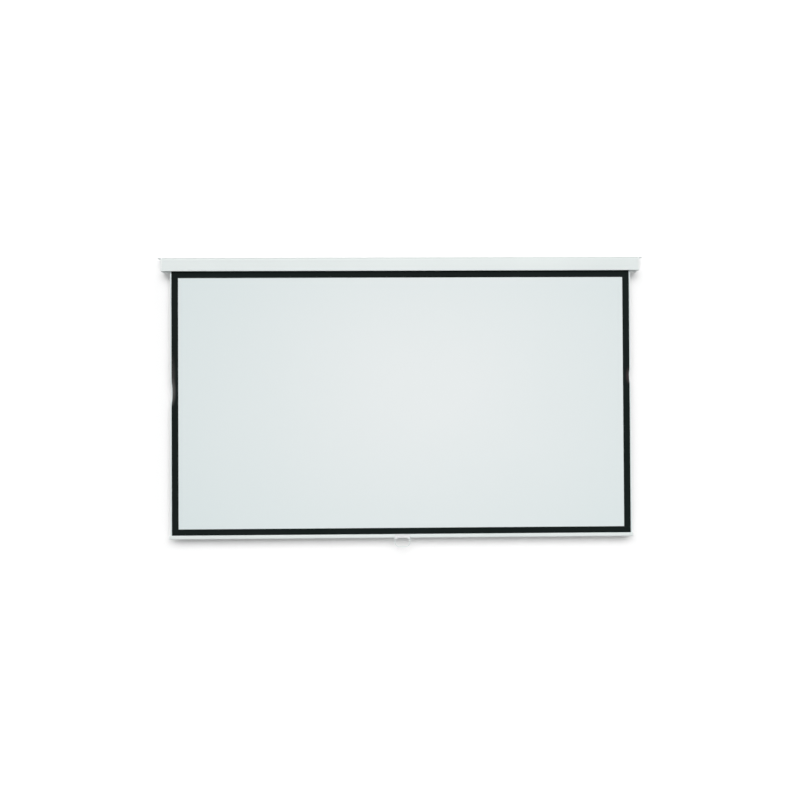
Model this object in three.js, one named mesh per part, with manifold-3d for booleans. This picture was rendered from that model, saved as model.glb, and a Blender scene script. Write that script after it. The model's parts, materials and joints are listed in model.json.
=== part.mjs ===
// Pull-down wall projection screen, 100 inch diagonal, 16:9, with a spring roller in a slim case.
//
// Millimetres, +Z up, +X to the viewer's right. The viewer stands on the -Y side and the wall is
// the plane y = 0. The origin is the middle of the case's back face. The screen is fully lowered.

import * as THREE from 'three';
import { mergeVertices } from 'three/addons/utils/BufferGeometryUtils.js';
import Module from 'manifold-3d';

const wasm = await Module();
wasm.setup();

// Clearances
const FIT_GAP = 0.3; // between pieces that seat or run in each other
const CUT_OVERRUN = 1; // how far a cutting body passes the faces it cuts

// Fabric and picture area
const VIEW_WIDTH = 2212;
const VIEW_HEIGHT = 1244;
const BORDER_WIDTH = 33; // black border at the sides and above
const BORDER_BELOW = 31; // black border between the picture and the bar
const FABRIC_MARGIN = 6; // white edge outside the black border
const FABRIC_THICKNESS = 0.45;
const COATING_THICKNESS = 0.2;

// Case
const CASE_END_ROOM = 45; // from the fabric's edge to the outside of the end cap
const CASE_HEIGHT = 66;
const CASE_DEPTH = 69;
const CASE_WALL = 2;
const CASE_TOP_RADIUS = 4;
const CASE_EDGE_RADIUS = 1.5;
const BEVEL_HEIGHT = 13; // sloping band along the top of the front
const BEVEL_DEPTH = 3;
const SLOT_FRONT_ROOM = 6; // from the fabric to the slot's front edge
const SLOT_BACK_ROOM = 8;
const PORT_RADIUS = 3.6; // open screw channels along the inside corners
const PORT_SINK = 0.8; // how far a channel's wall merges into the case wall
const PORT_MOUTH = THREE.MathUtils.degToRad(70);

// End caps
const CAP_THICKNESS = 8;
const CAP_EDGE_RADIUS = 1.2;
const CAP_RIB_LENGTH = 8;
const CAP_RIB_THICKNESS = 2;
const CAP_RIB_WIDTH = 20;
const BOSS_LENGTH = 8;
const BOSS_WALL = 2.4;
const SOCKET_DEPTH = 3; // how far the boss bores go on into the cap's plate

// Steel hangers on the ends
const HANGER_SHEET = 2.5;
const HANGER_FRONT_ROOM = 17; // from the case's front to the hanger's front edge
const HANGER_WALL_ROOM = 12; // from the wall to the hanger's back edge
const EAR_REACH = 19;
const EAR_CORNER_RADIUS = 8;
const EAR_HOLE_RADIUS = 4;
const TONGUE_REACH = 27;
const LEG_WIDTH = 20;
const LEG_DROP = 36;
const LEG_CORNER_RADIUS = 4;
const GUSSET_SIZE = 10;
const HANGER_RIVET_EDGE = 6; // rivet centre to the tongue's edges
const LEG_SCREW_EDGE = 7; // screw centre to the leg's lower edge

// Fasteners
const SCREW_RADIUS = 1.5;
const SCREW_HEAD_RADIUS = 3;
const SCREW_HEAD_HEIGHT = 1.8;
const SCREW_RECESS_WIDTH = 0.8;
const SCREW_RECESS_DEPTH = 0.9;
const CAP_SCREW_BITE = 12; // length of a cap screw inside its channel
const LEG_SCREW_BITE = 5;
const RIVET_RADIUS = 1.5;
const RIVET_HEAD_RADIUS = 2.8;
const RIVET_HEAD_HEIGHT = 1.2;
const RIVET_TAIL_RADIUS = 2.3;
const RIVET_TAIL_HEIGHT = 1;

// Roller
const ROLLER_FORWARD = 1.5; // axis forward of the middle of the case's depth
const ROLLER_RISE = 1; // axis above the middle of the case's height
const TUBE_RADIUS = 18;
const TUBE_WALL = 1;
const TUBE_END_ROOM = 3; // from the tube's end to the cap's boss
const WRAP_THICKNESS = 0.9; // the two turns of fabric that always stay on the tube
const PLUG_LENGTH = 16;
const IDLE_PIN_RADIUS = 4;
const BUSH_WALL = 3;
const BUSH_FLANGE_RADIUS = 9;
const BUSH_FLANGE_THICKNESS = 1.5;

// Spring and its fixed shaft
const SHAFT_RADIUS = 4;
const SHAFT_SQUARE = 6;
const HUB_RADIUS = 9;
const HUB_LENGTH = 10;
const SPRING_WIRE = 2.2;
const SPRING_PITCH = 6;
const SPRING_TURNS = 28;
const COLLAR_RADIUS = 13;
const COLLAR_LENGTH = 8;
const COLLAR_PIN_RADIUS = 1.5;
const GUIDE_LENGTH = 10;
const GUIDE_SPACING = 12; // from the collar to the guide
const SHAFT_TAIL = 5; // shaft beyond the guide

// Ratchet lock
const WHEEL_INSET = 2; // from the tube's end to the ratchet wheel
const WHEEL_THICKNESS = 6;
const PAWL_ROOM = 1; // free space inside and outside the pawls' heads
const PAWL_HEAD_RADIUS = 2.6;
const PAWL_ARM = 9;
const PAWL_ARM_WIDTH = 2.2;
const PAWL_THICKNESS = 4;
const PAWL_PIN_RADIUS = 1.1;
const PAWL_PIN_HEAD_RADIUS = 2;
const PAWL_PIN_HEAD = 1;
const PAWL_PIN_SEAT = 6;
const PAWL_LIFTED_ANGLE = THREE.MathUtils.degToRad(12);
const PAWL_SWING = THREE.MathUtils.degToRad(38);

// Bottom bar
const BAR_HEIGHT = 18;
const BAR_DEPTH = 12;
const BAR_WALL = 1.5;
const BAR_EDGE_RADIUS = 3.5;
const BAR_SLOT = 1.6;
const BAR_LIP = 1.8; // metal between the spline channel and the bar's top
const BAR_OVERHANG = 6; // beyond the fabric's edge, cap included
const BAR_CAP_THICKNESS = 6;
const BAR_CAP_EDGE_RADIUS = 1;
const BAR_CAP_PLUG = 8;
const SPLINE_RADIUS = 2.6;

// Handle
const BRACKET_WIDTH = 76;
const BRACKET_SHEET = 2;
const BRACKET_TOP_ROOM = 1; // from the bracket's top to the bar's top
const BRACKET_CORNER_RADIUS = 3;
const BRACKET_RIVET_SPACING = 36;
const LUG_SPACING = 58;
const LUG_LENGTH = 8;
const LUG_RADIUS = 5;
const LUG_DROP = 2.5; // pivot below the bar's underside
const BAIL_WIRE = 4.6;
const BAIL_WIDTH = 84; // outside
const BAIL_DROP = 42; // pivot to the lowest point
const BAIL_TAPER = 5; // how much each side leans in towards the bottom
const BAIL_SHOULDER_RADIUS = 5;
const BAIL_CORNER_RADIUS = 20;
const BAIL_STUB = 7; // length of wire inside each lug

// Facets of the round pieces
const TUBE_SIDES = 48;
const ROD_SIDES = 20;
const FASTENER_SIDES = 12;
const ARC_STEPS = 3; // half the facets of a rounded corner
const BEVEL_STEPS = 2;
const CHANNEL_ARC_STEPS = 7; // half the facets of a nearly closed round channel
const SPRING_STEPS_PER_TURN = 8;
const SPRING_SIDES = 5;
const BAIL_STEPS = 52;
const BAIL_SIDES = 8;

// Places that several pieces share
const fabricHalfWidth = VIEW_WIDTH / 2 + BORDER_WIDTH + FABRIC_MARGIN;
const caseEnd = fabricHalfWidth + CASE_END_ROOM;
const caseTop = CASE_HEIGHT / 2;
const caseBottom = -CASE_HEIGHT / 2;
const shellEnd = caseEnd - CAP_THICKNESS;
const rollerY = -CASE_DEPTH / 2 - ROLLER_FORWARD;
const rollerZ = ROLLER_RISE;
const wrapInner = TUBE_RADIUS + FIT_GAP;
const wrapOuter = wrapInner + WRAP_THICKNESS;
const fabricFront = rollerY - wrapOuter;
const fabricBack = fabricFront + FABRIC_THICKNESS;
const viewTop = caseBottom - BORDER_WIDTH;
const viewBottom = viewTop - VIEW_HEIGHT;
const barTop = viewBottom - BORDER_BELOW;
const barBottom = barTop - BAR_HEIGHT;
const barY = (fabricFront + fabricBack) / 2;
const barEnd = fabricHalfWidth + BAR_OVERHANG;
const barMetalEnd = barEnd - BAR_CAP_THICKNESS;
const tubeBore = TUBE_RADIUS - TUBE_WALL;
const tubeEnd = shellEnd - BOSS_LENGTH - TUBE_END_ROOM;
const plugRadius = tubeBore - FIT_GAP;
const bushRadius = IDLE_PIN_RADIUS + FIT_GAP + BUSH_WALL;
const bossRadius = bushRadius + FIT_GAP + BOSS_WALL;
const screwHole = SCREW_RADIUS + FIT_GAP;
const rivetHole = RIVET_RADIUS + FIT_GAP;

const finish = (color, roughness, metalness) =>
  new THREE.MeshStandardMaterial({ color, roughness, metalness });
const whitePaint = finish(0xe6ecec, 0.45, 0.1);
const whitePlastic = finish(0xdfe3e4, 0.5, 0);
const screenWhite = finish(0xe4eaeb, 0.9, 0);
const borderBlack = finish(0x1b2120, 0.85, 0);
const zincSteel = finish(0xc3c6c8, 0.35, 0.9);
const springSteel = finish(0x6b6d70, 0.4, 0.9);
const greyNylon = finish(0x8d9194, 0.6, 0);

// Shapes and solids

// An outline of corners [u, v, radius], its rounded corners drawn as true arcs.
function roundedOutline(corners, outline = new THREE.Shape()) {
  corners.forEach(([u, v, radius = 0], i) => {
    const corner = new THREE.Vector2(u, v);
    if (radius === 0) {
      if (i === 0) outline.moveTo(u, v);
      else outline.lineTo(u, v);
      return;
    }
    const [fromU, fromV] = corners.at(i - 1);
    const [toU, toV] = corners[(i + 1) % corners.length];
    const arriving = corner.clone().sub(new THREE.Vector2(fromU, fromV)).normalize();
    const leaving = new THREE.Vector2(toU, toV).sub(corner).normalize();
    const turn = Math.atan2(arriving.cross(leaving), arriving.dot(leaving));
    const toCentre = radius / Math.cos(turn / 2);
    const centre = leaving.clone().sub(arriving).setLength(toCentre).add(corner);
    const facing = Math.atan2(arriving.y, arriving.x) - Math.sign(turn) * Math.PI / 2;
    const fromCentre = new THREE.Vector2(Math.cos(facing), Math.sin(facing)).multiplyScalar(radius);
    const arcStart = fromCentre.add(centre);
    if (i > 0) outline.lineTo(arcStart.x, arcStart.y);
    outline.absarc(centre.x, centre.y, radius, facing, facing + turn, turn < 0);
  });
  return outline;
}

const extrusion = (shape, depth, options = {}) =>
  new THREE.ExtrudeGeometry(shape, { depth, curveSegments: ARC_STEPS, bevelEnabled: false, ...options });

const layAlong = (u, v, w) => new THREE.Matrix4().makeBasis(u, v, w);
const xAxis = new THREE.Vector3(1, 0, 0);
const yAxis = new THREE.Vector3(0, 1, 0);
const zAxis = new THREE.Vector3(0, 0, 1);

// An outline drawn in y and z, extruded from one x to another.
function extrudeAlongX(shape, fromX, toX, options) {
  const piece = extrusion(shape, toX - fromX, options);
  return piece.applyMatrix4(layAlong(yAxis, zAxis, xAxis)).translate(fromX, 0, 0);
}

// An outline drawn in x and z, extruded from one y to another.
function extrudeAlongY(shape, fromY, toY) {
  const backwards = yAxis.clone().negate();
  return extrusion(shape, toY - fromY).applyMatrix4(layAlong(xAxis, zAxis, backwards)).translate(0, toY, 0);
}

function extrudeAlongZ(shape, fromZ, toZ) {
  return extrusion(shape, toZ - fromZ).translate(0, 0, fromZ);
}

function boxBetween([x0, y0, z0], [x1, y1, z1]) {
  const box = new THREE.BoxGeometry(x1 - x0, y1 - y0, z1 - z0);
  return box.translate((x0 + x1) / 2, (y0 + y1) / 2, (z0 + z1) / 2);
}

// A turned piece on the x axis, from profile points [x, radius].
function turnedAlongX(profile, sides) {
  const points = profile.map(([x, radius]) => new THREE.Vector2(radius, x));
  return new THREE.LatheGeometry(points, sides).rotateZ(-Math.PI / 2);
}

function rodAlongX(radius, fromX, toX, sides = ROD_SIDES) {
  return turnedAlongX([[fromX, 0], [fromX, radius], [toX, radius], [toX, 0]], sides);
}

function ringAlongX(inner, outer, fromX, toX, sides = ROD_SIDES) {
  return turnedAlongX([[fromX, inner], [fromX, outer], [toX, outer], [toX, inner], [fromX, inner]], sides);
}

function toSolid(geometry) {
  const bare = geometry.clone();
  bare.deleteAttribute('normal');
  bare.deleteAttribute('uv');
  const merged = mergeVertices(bare);
  const corners = merged.index.array;
  const triangles = [];
  for (let i = 0; i < corners.length; i += 3) {
    const [a, b, c] = corners.subarray(i, i + 3);
    if (a !== b && b !== c && c !== a) triangles.push(a, b, c);
  }
  const vertProperties = Float32Array.from(merged.attributes.position.array);
  const closed = (order) => {
    const triVerts = Uint32Array.from(order);
    return new wasm.Manifold(new wasm.Mesh({ numProp: 3, vertProperties, triVerts }));
  };
  const solid = closed(triangles);
  return solid.volume() < 0 ? closed(triangles.reverse()) : solid;
}

function fromSolid(solid) {
  const mesh = solid.getMesh();
  const geometry = new THREE.BufferGeometry();
  geometry.setAttribute('position', new THREE.BufferAttribute(mesh.vertProperties, mesh.numProp));
  geometry.setIndex(new THREE.BufferAttribute(mesh.triVerts, 1));
  geometry.computeVertexNormals();
  return geometry;
}

// One body of the joined geometries, with the cutters taken away.
function carve(joined, cutters = []) {
  let solid = joined.map(toSolid).reduce((whole, piece) => whole.add(piece));
  for (const cutter of cutters) solid = solid.subtract(toSolid(cutter));
  return fromSolid(solid);
}

// The same piece for the other end, mirrored across the middle of the screen.
function mirrored(geometry) {
  const flipped = geometry.clone().scale(-1, 1, 1);
  const index = flipped.index.array;
  for (let i = 0; i < index.length; i += 3) {
    const kept = index[i];
    index[i] = index[i + 1];
    index[i + 1] = kept;
  }
  flipped.computeVertexNormals();
  return flipped;
}

function addPiece(group, name, geometry, material) {
  const piece = new THREE.Mesh(geometry, material);
  piece.name = name;
  group.add(piece);
  return piece;
}

function addGroup(parent, x = 0, y = 0, z = 0) {
  const group = new THREE.Group();
  group.position.set(x, y, z);
  parent.add(group);
  return group;
}

// Case

// Corners of the case's section in y and z, going up the front, over the top and down the back.
function sectionCorners(inset, edgeRadius, topRadius) {
  return [
    [-CASE_DEPTH + inset, caseBottom + inset, edgeRadius],
    [-CASE_DEPTH + inset, caseTop - BEVEL_HEIGHT],
    [-CASE_DEPTH + BEVEL_DEPTH + inset, caseTop - inset, topRadius],
    [-inset, caseTop - inset, edgeRadius],
    [-inset, caseBottom + inset, edgeRadius],
  ];
}

const slotFrontY = fabricFront - SLOT_FRONT_ROOM;
const slotBackY = fabricFront + SLOT_BACK_ROOM;
const portInset = CASE_WALL + PORT_RADIUS - PORT_SINK;
const ports = [
  { y: -CASE_DEPTH + BEVEL_DEPTH + portInset, z: caseTop - portInset, mouth: -Math.PI / 4 },
  { y: -portInset, z: caseTop - portInset, mouth: -3 * Math.PI / 4 },
  { y: -portInset, z: caseBottom + portInset, mouth: 3 * Math.PI / 4 },
];

function screwChannel({ y, z, mouth }) {
  const start = mouth + PORT_MOUTH / 2;
  const end = mouth + 2 * Math.PI - PORT_MOUTH / 2;
  const shape = new THREE.Shape();
  shape.absarc(y, z, PORT_RADIUS, start, end, false);
  shape.absarc(y, z, screwHole, end, start, true);
  return extrudeAlongX(shape, -shellEnd, shellEnd, { curveSegments: CHANNEL_ARC_STEPS });
}

const hangerFrontY = -CASE_DEPTH + HANGER_FRONT_ROOM;
const hangerRivets = [hangerFrontY + HANGER_RIVET_EDGE, -HANGER_WALL_ROOM - HANGER_RIVET_EDGE];
const hangerRivetX = caseEnd - TONGUE_REACH + HANGER_RIVET_EDGE;

// A vertical cutter for a rivet hole, at one end of the case.
function rivetCutter(x, y, fromZ, toZ) {
  const drill = new THREE.CylinderGeometry(rivetHole, rivetHole, toZ - fromZ, FASTENER_SIDES);
  return drill.rotateX(Math.PI / 2).translate(x, y, (fromZ + toZ) / 2);
}

function caseShell() {
  const outer = sectionCorners(0, CASE_EDGE_RADIUS, CASE_TOP_RADIUS);
  const inner = sectionCorners(CASE_WALL, 0, CASE_TOP_RADIUS - CASE_WALL).reverse();
  const wall = roundedOutline([
    [slotFrontY, caseBottom],
    ...outer,
    [slotBackY, caseBottom],
    [slotBackY, caseBottom + CASE_WALL],
    ...inner,
    [slotFrontY, caseBottom + CASE_WALL],
  ]);
  const lowZ = caseTop - CASE_WALL - CUT_OVERRUN;
  const highZ = caseTop + CUT_OVERRUN;
  const holes = hangerRivets.flatMap((y) =>
    [-hangerRivetX, hangerRivetX].map((x) => rivetCutter(x, y, lowZ, highZ)));
  return carve([extrudeAlongX(wall, -shellEnd, shellEnd), ...ports.map(screwChannel)], holes);
}

// A countersunk seat for a cap screw, cut from the cap's outer face at +x.
function capScrewSeat({ y, z }) {
  const mouth = caseEnd + CUT_OVERRUN;
  const seat = turnedAlongX([
    [shellEnd - CUT_OVERRUN, 0],
    [shellEnd - CUT_OVERRUN, screwHole],
    [caseEnd - SCREW_HEAD_HEIGHT, screwHole],
    [caseEnd, SCREW_HEAD_RADIUS + FIT_GAP],
    [mouth, SCREW_HEAD_RADIUS + FIT_GAP],
    [mouth, 0],
  ], FASTENER_SIDES);
  return seat.translate(0, y, z);
}

const legY = -HANGER_WALL_ROOM - LEG_WIDTH / 2;
const legScrewZ = caseTop - LEG_DROP + LEG_SCREW_EDGE;

// The end cap at +x, with the given cutter for what turns or sits in its boss.
function endCap(bossCutter) {
  const plateShape = roundedOutline(sectionCorners(0, CASE_EDGE_RADIUS, CASE_TOP_RADIUS));
  const plate = extrusion(plateShape, CAP_THICKNESS - 2 * CAP_EDGE_RADIUS, {
    bevelEnabled: true,
    bevelSize: CAP_EDGE_RADIUS,
    bevelThickness: CAP_EDGE_RADIUS,
    bevelOffset: -CAP_EDGE_RADIUS,
    bevelSegments: BEVEL_STEPS,
  });
  plate.applyMatrix4(layAlong(yAxis, zAxis, xAxis)).translate(shellEnd + CAP_EDGE_RADIUS, 0, 0);
  const boss = rodAlongX(bossRadius, shellEnd - BOSS_LENGTH, shellEnd + CAP_EDGE_RADIUS, TUBE_SIDES / 2);
  const ribFromX = shellEnd - CAP_RIB_LENGTH;
  const ribToX = shellEnd + CAP_EDGE_RADIUS;
  const near = CASE_WALL + FIT_GAP;
  const far = near + CAP_RIB_THICKNESS;
  const half = CAP_RIB_WIDTH / 2;
  const ribs = [
    boxBetween([ribFromX, -CASE_DEPTH + near, rollerZ - half], [ribToX, -CASE_DEPTH + far, rollerZ + half]),
    boxBetween([ribFromX, -far, rollerZ - half], [ribToX, -near, rollerZ + half]),
    boxBetween([ribFromX, rollerY - half, caseTop - far], [ribToX, rollerY + half, caseTop - near]),
  ];
  const legScrewHole = rodAlongX(
    screwHole, caseEnd - LEG_SCREW_BITE - FIT_GAP, caseEnd + CUT_OVERRUN, FASTENER_SIDES);
  legScrewHole.translate(0, legY, legScrewZ);
  return carve(
    [plate, boss.translate(0, rollerY, rollerZ), ...ribs],
    [bossCutter.translate(0, rollerY, rollerZ), legScrewHole, ...ports.map(capScrewSeat)]);
}

// The bores in the two caps' bosses, both drawn for the end at +x.
function shaftSocket() {
  const half = SHAFT_SQUARE / 2 + FIT_GAP;
  const mouth = shellEnd - BOSS_LENGTH - CUT_OVERRUN;
  return boxBetween([mouth, -half, -half], [shellEnd + SOCKET_DEPTH, half, half]);
}

function bushSeat() {
  const mouth = shellEnd - BOSS_LENGTH - CUT_OVERRUN;
  return rodAlongX(bushRadius + FIT_GAP, mouth, shellEnd + SOCKET_DEPTH);
}

// Hangers

// The hanger at +x: a flat ear and tongue on top, a leg down the cap and a small gusset.
function hanger() {
  const legOuter = caseEnd + HANGER_SHEET;
  const earTip = caseEnd + EAR_REACH;
  const plate = extrudeAlongZ(roundedOutline([
    [caseEnd - TONGUE_REACH, hangerFrontY, LEG_CORNER_RADIUS],
    [earTip, hangerFrontY, EAR_CORNER_RADIUS],
    [earTip, -HANGER_WALL_ROOM, EAR_CORNER_RADIUS],
    [caseEnd - TONGUE_REACH, -HANGER_WALL_ROOM, LEG_CORNER_RADIUS],
  ]), caseTop, caseTop + HANGER_SHEET);
  const legBack = legY + LEG_WIDTH / 2;
  const legFront = legY - LEG_WIDTH / 2;
  const legTop = caseTop + HANGER_SHEET / 2;
  const leg = extrudeAlongX(roundedOutline([
    [legFront, caseTop - LEG_DROP, LEG_CORNER_RADIUS],
    [legBack, caseTop - LEG_DROP, LEG_CORNER_RADIUS],
    [legBack, legTop],
    [legFront, legTop],
  ]), caseEnd, legOuter);
  const gusset = extrudeAlongY(roundedOutline([
    [legOuter - HANGER_SHEET / 2, caseTop - GUSSET_SIZE],
    [legOuter, caseTop - GUSSET_SIZE],
    [legOuter + GUSSET_SIZE, caseTop],
    [legOuter + GUSSET_SIZE, legTop],
    [legOuter - HANGER_SHEET / 2, legTop],
  ]), legFront, legFront + HANGER_SHEET);
  const earHole = new THREE.CylinderGeometry(
    EAR_HOLE_RADIUS, EAR_HOLE_RADIUS, HANGER_SHEET + 2 * CUT_OVERRUN, ROD_SIDES);
  earHole.rotateX(Math.PI / 2).translate((legOuter + earTip) / 2, legY, caseTop + HANGER_SHEET / 2);
  const legHole = rodAlongX(screwHole, caseEnd - CUT_OVERRUN, legOuter + CUT_OVERRUN, FASTENER_SIDES);
  legHole.translate(0, legY, legScrewZ);
  const sinks = hangerRivets.map((y) => countersunkRivetSeat().translate(hangerRivetX, y, 0));
  return carve([plate, leg, gusset], [earHole, legHole, ...sinks]);
}

const upright = (profile) => {
  const points = profile.map(([z, radius]) => new THREE.Vector2(radius, z));
  return new THREE.LatheGeometry(points, FASTENER_SIDES).rotateX(Math.PI / 2);
};

function countersunkRivetSeat() {
  const top = caseTop + HANGER_SHEET;
  const wide = RIVET_HEAD_RADIUS + FIT_GAP;
  return upright([
    [caseTop - CUT_OVERRUN, 0],
    [caseTop - CUT_OVERRUN, rivetHole],
    [top - RIVET_HEAD_HEIGHT, rivetHole],
    [top, wide],
    [top + CUT_OVERRUN, wide],
    [top + CUT_OVERRUN, 0],
  ]);
}

// A rivet whose flat head is flush with the tongue and whose tail is set under the case's top wall.
function hangerRivet() {
  const top = caseTop + HANGER_SHEET;
  const under = caseTop - CASE_WALL - FIT_GAP;
  return upright([
    [under - RIVET_TAIL_HEIGHT, 0],
    [under - RIVET_TAIL_HEIGHT, RIVET_TAIL_RADIUS],
    [under, RIVET_TAIL_RADIUS],
    [under, RIVET_RADIUS],
    [top - RIVET_HEAD_HEIGHT, RIVET_RADIUS],
    [top, RIVET_HEAD_RADIUS],
    [top, 0],
  ]);
}

// Screws, drawn for the end at +x with their heads outwards

function crossRecess(headFace) {
  const half = SCREW_RECESS_WIDTH / 2;
  const reach = SCREW_RADIUS;
  const fromX = headFace - SCREW_RECESS_DEPTH;
  const toX = headFace + CUT_OVERRUN;
  return [
    boxBetween([fromX, -half, -reach], [toX, half, reach]),
    boxBetween([fromX, -reach, -half], [toX, reach, half]),
  ];
}

function capScrew() {
  const tip = shellEnd - CAP_SCREW_BITE;
  const body = turnedAlongX([
    [tip, 0],
    [tip + SCREW_RADIUS, SCREW_RADIUS],
    [caseEnd - SCREW_HEAD_HEIGHT, SCREW_RADIUS],
    [caseEnd, SCREW_HEAD_RADIUS],
    [caseEnd, 0],
  ], FASTENER_SIDES);
  return carve([body], crossRecess(caseEnd));
}

function legScrew() {
  const seat = caseEnd + HANGER_SHEET + FIT_GAP;
  const headFace = seat + SCREW_HEAD_HEIGHT;
  const tip = caseEnd - LEG_SCREW_BITE;
  const body = turnedAlongX([
    [tip, 0],
    [tip + SCREW_RADIUS, SCREW_RADIUS],
    [seat, SCREW_RADIUS],
    [seat, SCREW_HEAD_RADIUS],
    [headFace - SCREW_HEAD_HEIGHT / 2, SCREW_HEAD_RADIUS],
    [headFace, SCREW_HEAD_RADIUS - SCREW_HEAD_HEIGHT / 2],
    [headFace, 0],
  ], FASTENER_SIDES);
  return carve([body], crossRecess(headFace));
}

// Spring end of the roller, at -x

const wheelFromX = -tubeEnd + WHEEL_INSET;
const wheelToX = wheelFromX + WHEEL_THICKNESS;
const shoulderX = wheelToX + FIT_GAP;
const springPlugFromX = shoulderX + FIT_GAP;
const springPlugToX = springPlugFromX + PLUG_LENGTH;
const springFlatness = Math.cos(Math.PI / SPRING_STEPS_PER_TURN); // a facet's middle lies nearer the axis
const springMeanRadius = (HUB_RADIUS + FIT_GAP + SPRING_WIRE / 2) / springFlatness;
const springFromX = springPlugToX + FIT_GAP + SPRING_WIRE / 2;
const springToX = springFromX + SPRING_TURNS * SPRING_PITCH;
const collarFromX = springToX + SPRING_WIRE / 2 + FIT_GAP;
const collarToX = collarFromX + COLLAR_LENGTH;
const guideFromX = collarToX + GUIDE_SPACING;
const guideToX = guideFromX + GUIDE_LENGTH;
const shaftBore = SHAFT_RADIUS + FIT_GAP;
const pawlPivotRadius = tubeBore - PAWL_ROOM - PAWL_HEAD_RADIUS;
const wheelRadius = pawlPivotRadius - PAWL_HEAD_RADIUS - PAWL_ROOM;
const pawlToX = springPlugFromX - FIT_GAP;
const pawlFromX = pawlToX - PAWL_THICKNESS;

function collarPinCutter(radius, length) {
  const drill = new THREE.CylinderGeometry(radius, radius, length, FASTENER_SIDES);
  return drill.translate((collarFromX + collarToX) / 2, 0, 0);
}

// The shaft's square end sits in the cap, so the shaft never turns.
function springShaft() {
  const half = SHAFT_SQUARE / 2;
  const squareFromX = -shellEnd - SOCKET_DEPTH + FIT_GAP;
  const square = boxBetween([squareFromX, -half, -half], [shoulderX + CUT_OVERRUN, half, half]);
  const round = rodAlongX(SHAFT_RADIUS, shoulderX, guideToX + SHAFT_TAIL);
  const pinHole = collarPinCutter(COLLAR_PIN_RADIUS + FIT_GAP, 2 * SHAFT_RADIUS + 2 * CUT_OVERRUN);
  return carve([square, round], [pinHole]);
}

// The engaged pawl's arm, grown by a clearance, is what each notch is cut with.
function notchCutter(turn) {
  const reach = PAWL_ARM_WIDTH / 2 + FIT_GAP;
  const cutter = boxBetween(
    [wheelFromX - CUT_OVERRUN, 0, -reach],
    [wheelToX + CUT_OVERRUN, PAWL_ARM + FIT_GAP, pawlPivotRadius]);
  cutter.rotateX(-PAWL_LIFTED_ANGLE - PAWL_SWING).translate(0, 0, pawlPivotRadius);
  return cutter.rotateX(turn);
}

function ratchetWheel() {
  const half = SHAFT_SQUARE / 2 + FIT_GAP;
  const bore = boxBetween([wheelFromX - CUT_OVERRUN, -half, -half], [wheelToX + CUT_OVERRUN, half, half]);
  const disc = rodAlongX(wheelRadius, wheelFromX, wheelToX, TUBE_SIDES);
  return carve([disc], [bore, notchCutter(0), notchCutter(Math.PI)]);
}

// A pawl drawn about its own pivot, lifted clear of the wheel.
function pawl() {
  const half = PAWL_ARM_WIDTH / 2;
  const head = rodAlongX(PAWL_HEAD_RADIUS, pawlFromX, pawlToX);
  const arm = boxBetween([pawlFromX, 0, -half], [pawlToX, PAWL_ARM, half]);
  const bore = rodAlongX(
    PAWL_PIN_RADIUS + FIT_GAP, pawlFromX - CUT_OVERRUN, pawlToX + CUT_OVERRUN, FASTENER_SIDES);
  return carve([head, arm], [bore]).rotateX(-PAWL_LIFTED_ANGLE);
}

function pawlPin() {
  const headToX = pawlFromX - FIT_GAP;
  const headFromX = headToX - PAWL_PIN_HEAD;
  const tipX = springPlugFromX + PAWL_PIN_SEAT;
  return turnedAlongX([
    [headFromX, 0],
    [headFromX, PAWL_PIN_HEAD_RADIUS],
    [headToX, PAWL_PIN_HEAD_RADIUS],
    [headToX, PAWL_PIN_RADIUS],
    [tipX, PAWL_PIN_RADIUS],
    [tipX, 0],
  ], FASTENER_SIDES);
}

// The plug turns with the tube, carries the pawls and drives the spring's first turns.
function springEndPlug() {
  const hubToX = springPlugToX + HUB_LENGTH;
  const body = turnedAlongX([
    [springPlugFromX, shaftBore],
    [springPlugFromX, plugRadius],
    [springPlugToX, plugRadius],
    [springPlugToX, HUB_RADIUS],
    [hubToX, HUB_RADIUS],
    [hubToX, shaftBore],
    [springPlugFromX, shaftBore],
  ], TUBE_SIDES / 2);
  const pinSeats = [1, -1].map((side) => rodAlongX(
    PAWL_PIN_RADIUS + FIT_GAP,
    springPlugFromX - CUT_OVERRUN,
    springPlugFromX + PAWL_PIN_SEAT + FIT_GAP,
    FASTENER_SIDES,
  ).translate(0, 0, side * pawlPivotRadius));
  return carve([body], pinSeats);
}

function springCollar() {
  const hubFromX = collarFromX - HUB_LENGTH;
  const body = turnedAlongX([
    [hubFromX, shaftBore],
    [hubFromX, HUB_RADIUS],
    [collarFromX, HUB_RADIUS],
    [collarFromX, COLLAR_RADIUS],
    [collarToX, COLLAR_RADIUS],
    [collarToX, shaftBore],
    [hubFromX, shaftBore],
  ], TUBE_SIDES / 2);
  return carve([body], [collarPinCutter(COLLAR_PIN_RADIUS + FIT_GAP, 2 * COLLAR_RADIUS + 2 * CUT_OVERRUN)]);
}

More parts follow.
